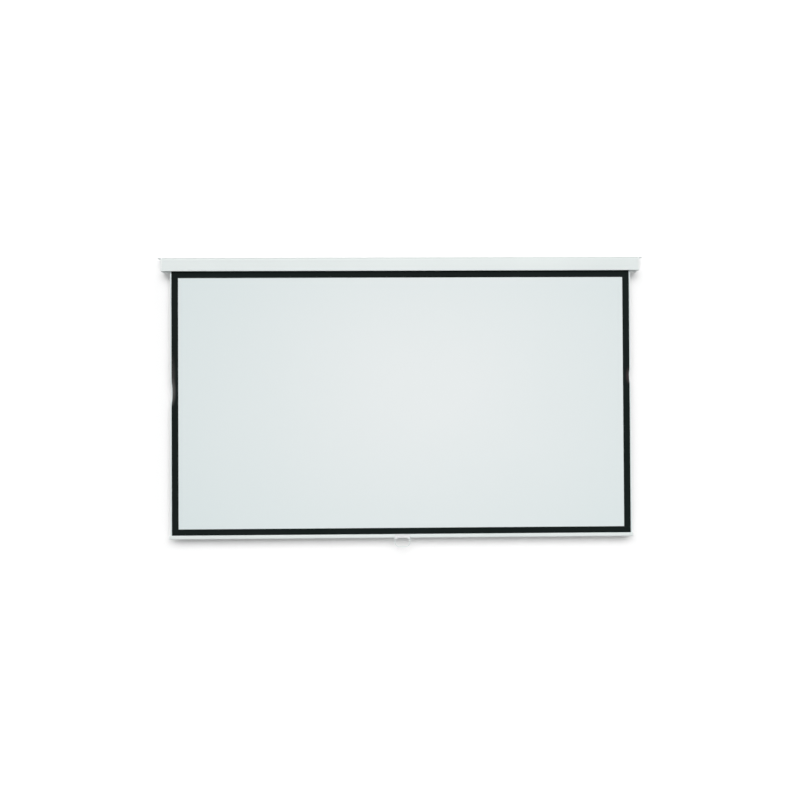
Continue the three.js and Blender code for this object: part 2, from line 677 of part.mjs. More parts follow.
// The winding as one unbroken tube: sections of the wire joined step by step along the helix.
function torsionSpring() {
  const steps = SPRING_TURNS * SPRING_STEPS_PER_TURN;
  const positions = [];
  const index = [];
  for (let step = 0; step <= steps; step += 1) {
    const angle = 2 * Math.PI * step / SPRING_STEPS_PER_TURN;
    const x = springFromX + (springToX - springFromX) * step / steps;
    for (let side = 0; side < SPRING_SIDES; side += 1) {
      const around = 2 * Math.PI * side / SPRING_SIDES;
      const alongX = x + Math.sin(around) * SPRING_WIRE / 2;
      const radius = springMeanRadius + Math.cos(around) * SPRING_WIRE / 2;
      positions.push(alongX, radius * Math.cos(angle), radius * Math.sin(angle));
    }
  }
  for (let step = 0; step < steps; step += 1) {
    for (let side = 0; side < SPRING_SIDES; side += 1) {
      const next = (side + 1) % SPRING_SIDES;
      const a = step * SPRING_SIDES + side;
      const b = step * SPRING_SIDES + next;
      const c = a + SPRING_SIDES;
      const d = b + SPRING_SIDES;
      index.push(a, c, b, b, c, d);
    }
  }
  const last = steps * SPRING_SIDES;
  for (let side = 1; side < SPRING_SIDES - 1; side += 1) {
    index.push(0, side, side + 1);
    index.push(last, last + side + 1, last + side);
  }
  const geometry = new THREE.BufferGeometry();
  geometry.setAttribute('position', new THREE.Float32BufferAttribute(positions, 3));
  geometry.setIndex(index);
  return carve([geometry]);
}

// Roller tube and its idle end, at +x

const idlePlugFromX = tubeEnd - PLUG_LENGTH;
const bushToX = shellEnd + SOCKET_DEPTH - FIT_GAP;
const bushFlangeToX = shellEnd - BOSS_LENGTH - FIT_GAP;

function idleBush() {
  const bore = IDLE_PIN_RADIUS + FIT_GAP;
  const flangeFromX = bushFlangeToX - BUSH_FLANGE_THICKNESS;
  return turnedAlongX([
    [flangeFromX, bore],
    [flangeFromX, BUSH_FLANGE_RADIUS],
    [bushFlangeToX, BUSH_FLANGE_RADIUS],
    [bushFlangeToX, bushRadius],
    [bushToX, bushRadius],
    [bushToX, bore],
    [flangeFromX, bore],
  ], ROD_SIDES);
}

// Bottom bar, drawn about the fabric's plane with its underside at zero height

const channelRadius = SPLINE_RADIUS + FIT_GAP;
const channelZ = BAR_HEIGHT - BAR_LIP - channelRadius;
const hollowTop = channelZ - channelRadius - BAR_WALL;
const hollowMid = (BAR_WALL + hollowTop) / 2;
const barFront = -BAR_DEPTH / 2;
const hollowEdgeRadius = BAR_EDGE_RADIUS - BAR_WALL;

// Cutters along y for the two rivets that hold the handle's bracket.
function bracketRivetDrills(wall, midY) {
  return [-1, 1].map((end) => {
    const drill = new THREE.CylinderGeometry(rivetHole, rivetHole, wall + 2 * CUT_OVERRUN, FASTENER_SIDES);
    return drill.translate(end * BRACKET_RIVET_SPACING / 2, midY, hollowMid);
  });
}

const barCorners = (radius) => [
  [-BAR_DEPTH / 2, BAR_HEIGHT, radius],
  [-BAR_DEPTH / 2, 0, radius],
  [BAR_DEPTH / 2, 0, radius],
  [BAR_DEPTH / 2, BAR_HEIGHT, radius],
];

function bottomBar() {
  const slotHalf = BAR_SLOT / 2;
  const slotAngle = Math.asin(slotHalf / channelRadius);
  const section = roundedOutline([
    [-slotHalf, BAR_HEIGHT],
    ...barCorners(BAR_EDGE_RADIUS),
    [slotHalf, BAR_HEIGHT],
  ]);
  const channelStart = Math.PI / 2 - slotAngle;
  const channelEnd = Math.PI / 2 + slotAngle - 2 * Math.PI;
  section.absarc(0, channelZ, channelRadius, channelStart, channelEnd, true);
  const side = BAR_DEPTH / 2 - BAR_WALL;
  section.holes.push(roundedOutline([
    [-side, BAR_WALL, hollowEdgeRadius],
    [side, BAR_WALL, hollowEdgeRadius],
    [side, hollowTop],
    [-side, hollowTop],
  ], new THREE.Path()));
  const drills = bracketRivetDrills(BAR_WALL, barFront + BAR_WALL / 2);
  const metal = extrudeAlongX(section, -barMetalEnd, barMetalEnd, { curveSegments: CHANNEL_ARC_STEPS });
  return carve([metal], drills);
}

// The plastic cap for the bar's end at +x, with a plug that fills the bar's lower hollow.
function barCap() {
  const plateShape = roundedOutline(barCorners(BAR_EDGE_RADIUS));
  const plate = extrusion(plateShape, BAR_CAP_THICKNESS - 2 * BAR_CAP_EDGE_RADIUS, {
    bevelEnabled: true,
    bevelSize: BAR_CAP_EDGE_RADIUS,
    bevelThickness: BAR_CAP_EDGE_RADIUS,
    bevelOffset: -BAR_CAP_EDGE_RADIUS,
    bevelSegments: BEVEL_STEPS,
  });
  plate.applyMatrix4(layAlong(yAxis, zAxis, xAxis)).translate(barMetalEnd + BAR_CAP_EDGE_RADIUS, 0, 0);
  const side = BAR_DEPTH / 2 - BAR_WALL - FIT_GAP;
  const plugShape = roundedOutline([
    [-side, BAR_WALL + FIT_GAP, hollowEdgeRadius - FIT_GAP],
    [side, BAR_WALL + FIT_GAP, hollowEdgeRadius - FIT_GAP],
    [side, hollowTop - FIT_GAP],
    [-side, hollowTop - FIT_GAP],
  ]);
  const plug = extrudeAlongX(plugShape, barMetalEnd - BAR_CAP_PLUG, barMetalEnd + BAR_CAP_EDGE_RADIUS);
  return carve([plate, plug]);
}

// Handle bracket and bail, drawn in the bar's own places

const pivotY = barFront - LUG_RADIUS;
const pivotZ = -LUG_DROP;
const lugBore = BAIL_WIRE / 2 + FIT_GAP;

function handleBracket() {
  const half = BRACKET_WIDTH / 2;
  const top = BAR_HEIGHT - BRACKET_TOP_ROOM;
  const plate = extrudeAlongY(roundedOutline([
    [-half, 0, BRACKET_CORNER_RADIUS],
    [half, 0, BRACKET_CORNER_RADIUS],
    [half, top, BRACKET_CORNER_RADIUS],
    [-half, top, BRACKET_CORNER_RADIUS],
  ]), barFront - BRACKET_SHEET, barFront);
  const lugX = [-1, 1].map((end) => end * LUG_SPACING / 2);
  const lugs = lugX.map((x) =>
    rodAlongX(LUG_RADIUS, x - LUG_LENGTH / 2, x + LUG_LENGTH / 2, ROD_SIDES).translate(0, pivotY, pivotZ));
  const bores = lugX.map((x) =>
    rodAlongX(lugBore, x - LUG_LENGTH / 2 - CUT_OVERRUN, x + LUG_LENGTH / 2 + CUT_OVERRUN, ROD_SIDES)
      .translate(0, pivotY, pivotZ));
  const drills = bracketRivetDrills(BRACKET_SHEET, barFront - BRACKET_SHEET / 2);
  return carve([plate, ...lugs], [...bores, ...drills]);
}

// A dome-headed rivet along y, its tail set inside the bar's hollow.
function bracketRivet() {
  const seat = BRACKET_SHEET + FIT_GAP;
  const inside = BAR_WALL + FIT_GAP;
  const rivet = turnedAlongX([
    [-seat - RIVET_HEAD_HEIGHT, 0],
    [-seat - RIVET_HEAD_HEIGHT, RIVET_HEAD_RADIUS / 2],
    [-seat - RIVET_HEAD_HEIGHT / 2, RIVET_HEAD_RADIUS],
    [-seat, RIVET_HEAD_RADIUS],
    [-seat, RIVET_RADIUS],
    [inside, RIVET_RADIUS],
    [inside, RIVET_TAIL_RADIUS],
    [inside + RIVET_TAIL_HEIGHT, RIVET_TAIL_RADIUS],
    [inside + RIVET_TAIL_HEIGHT, 0],
  ], FASTENER_SIDES);
  return rivet.rotateZ(Math.PI / 2).translate(0, barFront, hollowMid);
}

// The bail's wire: straight stubs in the lugs, round shoulders and a wide rounded bottom.
function pullHandle() {
  const wire = BAIL_WIRE / 2;
  const wide = BAIL_WIDTH / 2 - wire;
  const low = -(BAIL_DROP - wire);
  const stub = LUG_SPACING / 2 + LUG_LENGTH / 2 - BAIL_STUB;
  const centreline = roundedOutline([
    [-stub, 0],
    [-wide, 0, BAIL_SHOULDER_RADIUS],
    [-wide + BAIL_TAPER, low, BAIL_CORNER_RADIUS],
    [wide - BAIL_TAPER, low, BAIL_CORNER_RADIUS],
    [wide, 0, BAIL_SHOULDER_RADIUS],
    [stub, 0],
  ], new THREE.Path());
  const places = centreline.getSpacedPoints(BAIL_STEPS).map(({ x, y }) => new THREE.Vector3(x, 0, y));
  const section = new THREE.Shape().absarc(0, 0, wire, 0, 2 * Math.PI, false);
  const bail = new THREE.ExtrudeGeometry(section, {
    curveSegments: BAIL_SIDES / 2,
    steps: BAIL_STEPS,
    extrudePath: new THREE.CatmullRomCurve3(places),
  });
  return carve([bail]).translate(0, pivotY, pivotZ);
}

// Assembly

const screen = new THREE.Group();

function addCase(parent) {
  const group = addGroup(parent);
  addPiece(group, 'case_shell', caseShell(), whitePaint);
  addPiece(group, 'left_end_cap', mirrored(endCap(shaftSocket())), whitePlastic);
  addPiece(group, 'right_end_cap', endCap(bushSeat()), whitePlastic);
  const ends = [['left', mirrored], ['right', (geometry) => geometry]];
  for (const [side, toThisEnd] of ends) {
    addPiece(group, `${side}_hanger`, toThisEnd(hanger()), whitePaint);
    const screw = addPiece(group, `${side}_hanger_screw`, toThisEnd(legScrew()), zincSteel);
    screw.position.set(0, legY, legScrewZ);
    ports.forEach(({ y, z }, i) => {
      const capScrewPiece = addPiece(group, `${side}_cap_screw_${i + 1}`, toThisEnd(capScrew()), zincSteel);
      capScrewPiece.position.set(0, y, z);
    });
    hangerRivets.forEach((y, i) => {
      const rivet = addPiece(group, `${side}_hanger_rivet_${i + 1}`, carve([hangerRivet()]), zincSteel);
      rivet.position.set(side === 'left' ? -hangerRivetX : hangerRivetX, y, 0);
    });
  }
}

function addRoller(parent) {
  const group = addGroup(parent, 0, rollerY, rollerZ);
  addPiece(group, 'spring_shaft', springShaft(), zincSteel);
  addPiece(group, 'ratchet_wheel', ratchetWheel(), zincSteel);
  addPiece(group, 'torsion_spring', torsionSpring(), springSteel);
  addPiece(group, 'spring_collar', springCollar(), greyNylon);
  const collarPin = collarPinCutter(COLLAR_PIN_RADIUS, 2 * COLLAR_RADIUS);
  addPiece(group, 'collar_pin', carve([collarPin]), zincSteel);
  addPiece(group, 'idle_bush', carve([idleBush()]), greyNylon);

  const tube = ringAlongX(tubeBore, TUBE_RADIUS, -tubeEnd, tubeEnd, TUBE_SIDES);
  addPiece(group, 'roller_tube', carve([tube]), zincSteel);
  const wraps = ringAlongX(wrapInner, wrapOuter, -fabricHalfWidth, fabricHalfWidth, TUBE_SIDES);
  addPiece(group, 'fabric_wraps', carve([wraps]), borderBlack);
  addPiece(group, 'spring_end_plug', springEndPlug(), greyNylon);
  const guide = ringAlongX(shaftBore, plugRadius, guideFromX, guideToX, TUBE_SIDES / 2);
  addPiece(group, 'shaft_guide', carve([guide]), greyNylon);
  const idleBore = IDLE_PIN_RADIUS + FIT_GAP;
  const idlePlug = ringAlongX(idleBore, plugRadius, idlePlugFromX, tubeEnd, TUBE_SIDES / 2);
  addPiece(group, 'idle_end_plug', carve([idlePlug]), greyNylon);
  addPiece(group, 'idle_pin', carve([rodAlongX(IDLE_PIN_RADIUS, idlePlugFromX, bushToX)]), zincSteel);

  for (const [name, turn] of [['upper', 0], ['lower', Math.PI]]) {
    const carrier = addGroup(group);
    carrier.rotation.x = turn;
    const pivot = addGroup(carrier, 0, 0, pawlPivotRadius);
    addPiece(pivot, `${name}_pawl_pin`, carve([pawlPin()]), zincSteel);
    addPiece(pivot, `${name}_pawl`, pawl(), zincSteel);
  }
}

// The sheet leaves the roll at the front and hangs straight down into the bar's slot.
function addFabric(parent) {
  const group = addGroup(parent);
  const clearOfRoll = Math.sqrt((wrapOuter + FIT_GAP) ** 2 - (wrapOuter - FABRIC_THICKNESS) ** 2);
  const sheetTop = rollerZ - clearOfRoll;
  const sheetBottom = barBottom + channelZ + SPLINE_RADIUS + FIT_GAP;
  const sheet = boxBetween(
    [-fabricHalfWidth, fabricFront, sheetBottom],
    [fabricHalfWidth, fabricBack, sheetTop]);
  addPiece(group, 'fabric_sheet', sheet, screenWhite);

  const inner = VIEW_WIDTH / 2;
  const outer = inner + BORDER_WIDTH;
  const coatFront = fabricFront - COATING_THICKNESS;
  const strips = [
    ['border_top', -outer, outer, viewTop, sheetTop],
    ['border_bottom', -outer, outer, barTop + FIT_GAP, viewBottom],
    ['border_left', -outer, -inner, viewBottom, viewTop],
    ['border_right', inner, outer, viewBottom, viewTop],
  ];
  for (const [name, fromX, toX, low, high] of strips) {
    addPiece(group, name, boxBetween([fromX, coatFront, low], [toX, fabricFront, high]), borderBlack);
  }
}

function addBar(parent) {
  const group = addGroup(parent, 0, barY, barBottom);
  addPiece(group, 'bottom_bar', bottomBar(), whitePaint);
  addPiece(group, 'left_bar_cap', mirrored(barCap()), whitePlastic);
  addPiece(group, 'right_bar_cap', barCap(), whitePlastic);
  const splineEnd = barMetalEnd - FIT_GAP;
  const spline = rodAlongX(SPLINE_RADIUS, -splineEnd, splineEnd, FASTENER_SIDES);
  addPiece(group, 'hem_spline', carve([spline.translate(0, 0, channelZ)]), greyNylon);
  addPiece(group, 'handle_bracket', handleBracket(), whitePaint);
  for (const [side, sign] of [['left', -1], ['right', 1]]) {
    const rivet = addPiece(group, `${side}_bracket_rivet`, carve([bracketRivet()]), zincSteel);
    rivet.position.x = sign * BRACKET_RIVET_SPACING / 2;
  }
  addPiece(group, 'pull_handle', pullHandle(), whitePaint);
}

addCase(screen);
addRoller(screen);
addFabric(screen);
addBar(screen);

export default screen;
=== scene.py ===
import json
import math

import bmesh
import bpy
from mathutils import Matrix, Vector


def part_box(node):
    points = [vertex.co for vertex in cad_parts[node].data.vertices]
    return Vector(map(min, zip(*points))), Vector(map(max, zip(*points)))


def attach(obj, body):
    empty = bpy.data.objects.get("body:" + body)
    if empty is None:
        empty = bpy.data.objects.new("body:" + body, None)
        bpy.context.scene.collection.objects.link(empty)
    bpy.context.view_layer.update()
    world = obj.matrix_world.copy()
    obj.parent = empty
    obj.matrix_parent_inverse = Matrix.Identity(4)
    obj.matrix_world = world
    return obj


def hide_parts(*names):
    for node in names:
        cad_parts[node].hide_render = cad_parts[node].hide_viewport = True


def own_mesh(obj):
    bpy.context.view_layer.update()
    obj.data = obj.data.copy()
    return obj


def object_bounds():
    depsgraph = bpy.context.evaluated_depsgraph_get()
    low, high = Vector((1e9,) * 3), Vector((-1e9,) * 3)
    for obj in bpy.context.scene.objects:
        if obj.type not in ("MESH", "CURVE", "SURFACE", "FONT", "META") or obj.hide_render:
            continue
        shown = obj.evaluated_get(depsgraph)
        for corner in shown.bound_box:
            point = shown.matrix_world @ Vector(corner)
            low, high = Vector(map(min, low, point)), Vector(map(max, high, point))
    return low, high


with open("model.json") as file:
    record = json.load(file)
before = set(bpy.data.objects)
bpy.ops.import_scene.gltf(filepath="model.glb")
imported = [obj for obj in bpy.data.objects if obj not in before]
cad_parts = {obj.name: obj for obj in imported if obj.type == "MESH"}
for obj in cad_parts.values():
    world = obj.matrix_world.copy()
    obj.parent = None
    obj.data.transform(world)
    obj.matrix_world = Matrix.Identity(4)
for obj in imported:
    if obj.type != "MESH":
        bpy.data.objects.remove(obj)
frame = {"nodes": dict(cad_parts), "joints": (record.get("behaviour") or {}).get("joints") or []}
cad_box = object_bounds()

# Case
# One aluminium extrusion, powder coated white, with a sloping band along the top of its front.
# Its three screw channels run inside the corners and the fabric leaves by the slot underneath.
# The top of its front is darkened with painted shade.
SECTION_WELD = 0.00001
SECTION_EDGE = 0.0003
SECTION_EDGE_FROM = 0.0012
FLAT_WITHIN = math.radians(0.5)
SHARP_FROM = math.radians(32)
EDGE_SEGMENTS = 2
EDGE_ROUND = 0.5
FLATS_WEIGHT = 100
COAT_WHITE = (0.742, 0.793, 0.783)
COAT_SHADE = (0.716, 0.768, 0.760)
COAT_PEEL_PER_M = 380
COAT_CLOUD_PER_M = 2.3
COAT_PEEL_DEPTH = 0.00006
COAT_ROUGHNESS = 0.42
COAT_ROUGH_BETWEEN = (0.36, 0.50)
TOP_PAINTED_SHADE = (0.550, 0.587, 0.578)
PAINTED_SHADE_DOWN_FRONT = 0.0068
PAINTED_SHADE_FADE = 0.0020
PAINTED_SHADE_COVER = 0.8


def as_piece(name, shape, *materials):
    """A finished mesh becomes a piece, smooth except along its real edges."""
    mesh = bpy.data.meshes.new(name)
    shape.to_mesh(mesh)
    shape.free()
    mesh.shade_smooth()
    mesh.set_sharp_from_angle(angle=SHARP_FROM)
    piece = bpy.data.objects.new(name, mesh)
    bpy.context.scene.collection.objects.link(piece)
    for material in materials:
        mesh.materials.append(material)
    return piece


def rounded_copy(name, node, edge, shortest, material):
    """The node's own solid, its flats joined up and its outward edges broken, but for short ones."""
    shape = bmesh.new()
    shape.from_mesh(frame["nodes"][node].data)
    bmesh.ops.remove_doubles(shape, verts=shape.verts, dist=SECTION_WELD)
    bmesh.ops.dissolve_limit(
        shape, angle_limit=FLAT_WITHIN, verts=shape.verts, edges=shape.edges)
    sharp = [
        e for e in shape.edges
        if e.calc_face_angle_signed(0) > SHARP_FROM and e.calc_length() > shortest]
    bmesh.ops.bevel(
        shape, geom=sharp, offset=edge, segments=EDGE_SEGMENTS, profile=EDGE_ROUND,
        affect="EDGES", clamp_overlap=True, material=-1)
    piece = as_piece(name, shape, material)
    flats = piece.modifiers.new("flats_shade_flat", "WEIGHTED_NORMAL")
    flats.mode = "FACE_AREA"
    flats.weight = FLATS_WEIGHT
    flats.keep_sharp = True
    return piece


def new_material(name, roughness, metallic=0.0, specular=0.5):
    material = bpy.data.materials.new(name)
    material.use_nodes = True
    shader = material.node_tree.nodes["Principled BSDF"]
    shader.inputs["Roughness"].default_value = roughness
    shader.inputs["Metallic"].default_value = metallic
    shader.inputs["Specular IOR Level"].default_value = specular
    return material


def noise_of(material, per_m, detail=2.0, stretch=(1.0, 1.0, 1.0)):
    """Noise over the piece, so many blotches to the metre, drawn out where stretch is below 1."""
    tree = material.node_tree
    place = tree.nodes.new("ShaderNodeTexCoord")
    mapping = tree.nodes.new("ShaderNodeMapping")
    mapping.inputs["Scale"].default_value = stretch
    blotches = tree.nodes.new("ShaderNodeTexNoise")
    blotches.inputs["Scale"].default_value = per_m
    blotches.inputs["Detail"].default_value = detail
    tree.links.new(place.outputs["Object"], mapping.inputs["Vector"])
    tree.links.new(mapping.outputs["Vector"], blotches.inputs["Vector"])
    return blotches.outputs["Fac"]


def tint_by(material, pattern, dark, light, between=(0.3, 0.7)):
    """The piece's colour runs from dark to light with the pattern."""
    tree = material.node_tree
    ramp = tree.nodes.new("ShaderNodeValToRGB")
    for stop, at, colour in zip(ramp.color_ramp.elements, between, (dark, light)):
        stop.position = at
        stop.color = (*colour, 1.0)
    tree.links.new(pattern, ramp.inputs["Fac"])
    tree.links.new(ramp.outputs["Color"], tree.nodes["Principled BSDF"].inputs["Base Color"])


def rough_by(material, pattern, between):
    """The piece's roughness runs from the least to the most with the pattern."""
    tree = material.node_tree
    least, most = between
    spread = tree.nodes.new("ShaderNodeMapRange")
    spread.inputs["To Min"].default_value = least
    spread.inputs["To Max"].default_value = most
    tree.links.new(pattern, spread.inputs["Value"])
    tree.links.new(spread.outputs["Result"], tree.nodes["Principled BSDF"].inputs["Roughness"])


def raise_by(material, pattern, depth):
    """Adds relief of that depth in metres to what the surface already has."""
    tree = material.node_tree
    normal = tree.nodes["Principled BSDF"].inputs["Normal"]
    bump = tree.nodes.new("ShaderNodeBump")
    bump.inputs["Distance"].default_value = depth
    if normal.is_linked:
        tree.links.new(normal.links[0].from_socket, bump.inputs["Normal"])
    tree.links.new(pattern, bump.inputs["Height"])
    tree.links.new(bump.outputs["Normal"], normal)


def cover_by(material, pattern, colour):
    """Another colour lies over the piece's own, where the pattern says so."""
    tree = material.node_tree
    base = tree.nodes["Principled BSDF"].inputs["Base Color"]
    cover = tree.nodes.new("ShaderNodeMix")
    cover.data_type = "RGBA"
    share, under, over = (socket for socket in cover.inputs if socket.enabled)
    over.default_value = (*colour, 1.0)
    tree.links.new(base.links[0].from_socket, under)
    tree.links.new(pattern, share)
    tree.links.new(next(socket for socket in cover.outputs if socket.enabled), base)


def above(material, start_z, full_z, most):
    """0 below start_z, rising to most at full_z."""
    tree = material.node_tree
    place = tree.nodes.new("ShaderNodeTexCoord")
    split = tree.nodes.new("ShaderNodeSeparateXYZ")
    rise = tree.nodes.new("ShaderNodeMapRange")
    rise.inputs["From Min"].default_value = start_z
    rise.inputs["From Max"].default_value = full_z
    rise.inputs["To Max"].default_value = most
    tree.links.new(place.outputs["Object"], split.inputs["Vector"])
    tree.links.new(split.outputs["Z"], rise.inputs["Value"])
    return rise.outputs["Result"]


def stands_for(piece, body, slot, *nodes):
    """The piece takes the nodes' place and rides on their body. The slot is not used."""
    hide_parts(*nodes)
    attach(piece, body)


def powder_coat(name):
    """Baked white powder with a slight orange peel."""
    coat = new_material(name, COAT_ROUGHNESS)
    peel = noise_of(coat, COAT_PEEL_PER_M)
    tint_by(coat, noise_of(coat, COAT_CLOUD_PER_M), COAT_SHADE, COAT_WHITE)
    rough_by(coat, peel, COAT_ROUGH_BETWEEN)
    raise_by(coat, peel, COAT_PEEL_DEPTH)
    return coat


white_coat = powder_coat("white_powder_coat")
case_coat_with_painted_shade = powder_coat("case_powder_coat_painted_top_shade")
# Painted shade: the coat's colour darkens along the top of the case's front, where shade falls.
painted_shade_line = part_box("case_shell")[1].z - PAINTED_SHADE_DOWN_FRONT
cover_by(case_coat_with_painted_shade, above(case_coat_with_painted_shade, painted_shade_line, painted_shade_line + PAINTED_SHADE_FADE, PAINTED_SHADE_COVER), TOP_PAINTED_SHADE)

case_extrusion = rounded_copy(
    "case_extrusion", "case_shell", SECTION_EDGE, SECTION_EDGE_FROM, case_coat_with_painted_shade)
stands_for(case_extrusion, "case", "white_paint", "case_shell")

# End caps
# Moulded in white plastic a shade warmer than the coat, with a fine spark-eroded grain.
# Each plugs into the end of the case and is drawn up by three screws in the channels.
CAP_EDGE = 0.0003
CAP_EDGE_FROM = 0.002
CAP_WHITE = (0.800, 0.832, 0.826)
CAP_SHADE = (0.765, 0.800, 0.796)
CAP_CLOUD_PER_M = 9
CAP_GRAIN_PER_M = 1400
CAP_GRAIN_DEPTH = 0.00004
CAP_ROUGHNESS = 0.48
CAP_ROUGH_BETWEEN = (0.42, 0.58)

white_moulding = new_material("white_moulding", CAP_ROUGHNESS)
cap_grain = noise_of(white_moulding, CAP_GRAIN_PER_M, detail=1.0)
tint_by(white_moulding, noise_of(white_moulding, CAP_CLOUD_PER_M), CAP_SHADE, CAP_WHITE)
rough_by(white_moulding, cap_grain, CAP_ROUGH_BETWEEN)
raise_by(white_moulding, cap_grain, CAP_GRAIN_DEPTH)

for side in ("left", "right"):
    cap = rounded_copy(
        side + "_cap_moulding", side + "_end_cap", CAP_EDGE, CAP_EDGE_FROM, white_moulding)
    stands_for(cap, "case", "white_plastic", side + "_end_cap")

# Hangers
# Pressed from 2.5 mm steel sheet and coated white: an ear with a hole to hang by, a tongue along the
# case's top under two countersunk rivets, and a leg down the cap under one screw.
HANGER_EDGE = 0.0004
HANGER_EDGE_FROM = 0.0016

for side in ("left", "right"):
    hanger = rounded_copy(
        side + "_hanger_pressing", side + "_hanger", HANGER_EDGE, HANGER_EDGE_FROM, white_coat)
    stands_for(hanger, "case", "white_paint", side + "_hanger")

# Screws and rivets of the case
# Zinc plated steel, cross recessed, three through each cap and one through each hanger's leg.
# The tongue's rivets are flush.
FASTENER_EDGE = 0.00015
FASTENER_EDGE_FROM = 0.0009
ZINC = (0.740, 0.750, 0.770)
ZINC_DULL = (0.580, 0.595, 0.615)
ZINC_BLOTCH_PER_M = 160
ZINC_BRUSH_PER_M = 900
ZINC_BRUSH_STRETCH = (0.04, 1.0, 1.0)
ZINC_BRUSH_DEPTH = 0.00002
ZINC_ROUGHNESS = 0.38
ZINC_ROUGH_BETWEEN = (0.28, 0.50)
ZINC_METALLIC = 0.9

zinc = new_material("zinc_plate", ZINC_ROUGHNESS, metallic=ZINC_METALLIC)
zinc_brush = noise_of(zinc, ZINC_BRUSH_PER_M, stretch=ZINC_BRUSH_STRETCH)
tint_by(zinc, noise_of(zinc, ZINC_BLOTCH_PER_M), ZINC_DULL, ZINC)
rough_by(zinc, zinc_brush, ZINC_ROUGH_BETWEEN)
raise_by(zinc, zinc_brush, ZINC_BRUSH_DEPTH)


def plated(node, body):
    """A fastener's own solid with its facets smoothed, in zinc."""
    fastener = rounded_copy(node + "_plated", node, FASTENER_EDGE, FASTENER_EDGE_FROM, zinc)
    stands_for(fastener, body, "zinc_steel", node)


for side in ("left", "right"):
    plated(side + "_hanger_screw", "case")
    for place in ("1", "2", "3"):
        plated(side + "_cap_screw_" + place, "case")
    for place in ("1", "2"):
        plated(side + "_hanger_rivet_" + place, "case")

# Fixed shaft
# A drawn steel rod, square where the left cap holds it, so it never turns. Its nylon collar is pinned
# on and holds the spring's still end. A nylon guide turns with the tube and keeps the rod in its middle.
STEEL = (0.470, 0.475, 0.480)
STEEL_DARK = (0.330, 0.335, 0.340)
DRAWN_LINES_PER_M = 1500
DRAWN_STRETCH = (0.01, 1.0, 1.0)
STEEL_ROUGHNESS = 0.34
STEEL_ROUGH_BETWEEN = (0.24, 0.46)
NYLON = (0.300, 0.315, 0.325)
NYLON_DARK = (0.255, 0.270, 0.280)
NYLON_CLOUD_PER_M = 40
NYLON_GRAIN_PER_M = 900
NYLON_GRAIN_DEPTH = 0.00003
NYLON_ROUGHNESS = 0.5
NYLON_ROUGH_BETWEEN = (0.42, 0.60)
TURNED_EDGE = 0.00012
TURNED_EDGE_FROM = 0.0011


def turned(node, body, slot, material):
    """A piece of the mechanism: its own solid, its facets smoothed and its edges just broken."""
    piece = rounded_copy(node + "_turned", node, TURNED_EDGE, TURNED_EDGE_FROM, material)
    stands_for(piece, body, slot, node)


drawn_steel = new_material("drawn_steel", STEEL_ROUGHNESS, metallic=1.0)
drawn_lines = noise_of(drawn_steel, DRAWN_LINES_PER_M, stretch=DRAWN_STRETCH)
tint_by(drawn_steel, drawn_lines, STEEL_DARK, STEEL)
rough_by(drawn_steel, drawn_lines, STEEL_ROUGH_BETWEEN)

grey_nylon = new_material("grey_nylon", NYLON_ROUGHNESS)
nylon_grain = noise_of(grey_nylon, NYLON_GRAIN_PER_M)
tint_by(grey_nylon, noise_of(grey_nylon, NYLON_CLOUD_PER_M), NYLON_DARK, NYLON)
rough_by(grey_nylon, nylon_grain, NYLON_ROUGH_BETWEEN)
raise_by(grey_nylon, nylon_grain, NYLON_GRAIN_DEPTH)

turned("spring_shaft", "case", "zinc_steel", drawn_steel)
turned("collar_pin", "case", "zinc_steel", drawn_steel)
turned("spring_collar", "case", "grey_nylon", grey_nylon)
turned("shaft_guide", "roller", "grey_nylon", grey_nylon)

# Ratchet lock
# A steel wheel with two notches sits still on the shaft's square. Two steel pawls swing on pins in
# the turning plug, drop into the notches when the roller stops and are thrown clear when it spins.
turned("ratchet_wheel", "case", "zinc_steel", drawn_steel)
for place in ("upper", "lower"):
    turned(place + "_pawl", place + "_lock", "zinc_steel", drawn_steel)
    turned(place + "_pawl_pin", "roller", "zinc_steel", drawn_steel)

# Torsion spring
# Hard-drawn spring wire, oiled and nearly black, wound from the turning plug's hub to the collar's.
# It is wound up as the screen is pulled down and turns the roller back to lift it.
SPRING_WIRE = 0.0022
SPRING_TURNS = 28
SPRING_STEPS_PER_TURN = 28
SPRING_WIRE_SIDES = 10
OILED_STEEL = (0.110, 0.110, 0.115)
OILED_STEEL_DARK = (0.070, 0.068, 0.066)
OIL_BLOTCH_PER_M = 260
OIL_SHEEN_PER_M = 90
OILED_ROUGHNESS = 0.32
OILED_ROUGH_BETWEEN = (0.22, 0.44)

oiled_steel = new_material("oiled_spring_steel", OILED_ROUGHNESS, metallic=1.0)
tint_by(oiled_steel, noise_of(oiled_steel, OIL_BLOTCH_PER_M), OILED_STEEL_DARK, OILED_STEEL)
rough_by(oiled_steel, noise_of(oiled_steel, OIL_SHEEN_PER_M), OILED_ROUGH_BETWEEN)

spring_low, spring_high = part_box("torsion_spring")
spring_axis = (spring_low + spring_high) / 2
spring_radius = (spring_high.y - spring_low.y - SPRING_WIRE) / 2
spring_run = spring_high.x - spring_low.x - SPRING_WIRE
spring_steps = SPRING_TURNS * SPRING_STEPS_PER_TURN
spring_start = Vector((spring_low.x + SPRING_WIRE / 2, spring_axis.y + spring_radius, spring_axis.z))
spring_shape = bmesh.new()
bmesh.ops.create_circle(
    spring_shape, segments=SPRING_WIRE_SIDES, radius=SPRING_WIRE / 2, cap_ends=False,
    matrix=Matrix.Translation(spring_start))
bmesh.ops.spin(
    spring_shape, geom=spring_shape.edges[:], cent=spring_axis, axis=(1, 0, 0),
    dvec=(spring_run / spring_steps, 0, 0), angle=math.tau * SPRING_TURNS, steps=spring_steps)
open_ends = [e for e in spring_shape.edges if e.is_boundary]
bmesh.ops.holes_fill(spring_shape, edges=open_ends, sides=0)
bmesh.ops.recalc_face_normals(spring_shape, faces=spring_shape.faces)
spring_coils = as_piece("spring_coils", spring_shape, oiled_steel)
stands_for(spring_coils, "case", "spring_steel", "torsion_spring")

